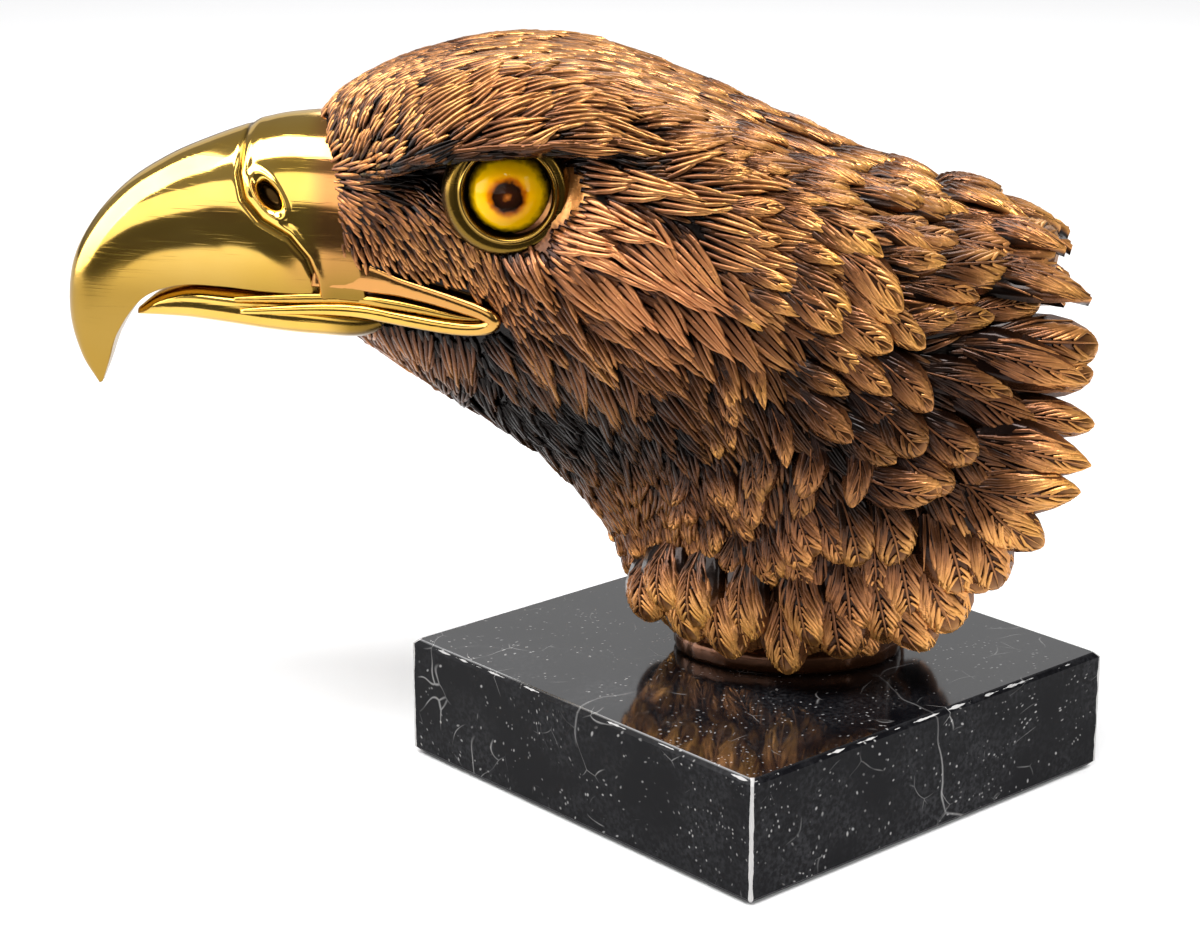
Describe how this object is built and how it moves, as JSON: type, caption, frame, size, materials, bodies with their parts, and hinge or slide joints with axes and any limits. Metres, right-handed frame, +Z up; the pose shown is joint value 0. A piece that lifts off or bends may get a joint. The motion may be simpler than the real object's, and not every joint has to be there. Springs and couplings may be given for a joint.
{
  "type": "eagle head sculpture",
  "caption": "Cast bronze eagle's head with a polished hooked beak and glass eyes, its feathered neck standing by a foot on a square black marble plinth.",
  "frame": {"origin": "middle of the plinth's underside", "axes": "+Z up, the beak points along -X, and the XZ plane is the plane of symmetry"},
  "size_m": [0.2513, 0.1698, 0.1799],
  "materials": {
    "patinated_bronze": "cast bronze with a warm brown patina, dark in the recesses and rubbed golden on the ridges and feather tips",
    "polished_brass": "beak, lips and eyelids polished bright gold, with fine scratches",
    "eye_glass": "clear glossy glass over a yellow iris and a dark brown pupil",
    "black_marble": "polished black marble with white veins and specks"
  },
  "bodies": {
    "root": {"marble_plinth": "black_marble", "bronze_eagle_head": "patinated_bronze", "left_glass_eye": "eye_glass", "right_glass_eye": "eye_glass"}
  },
  "joints": []
}
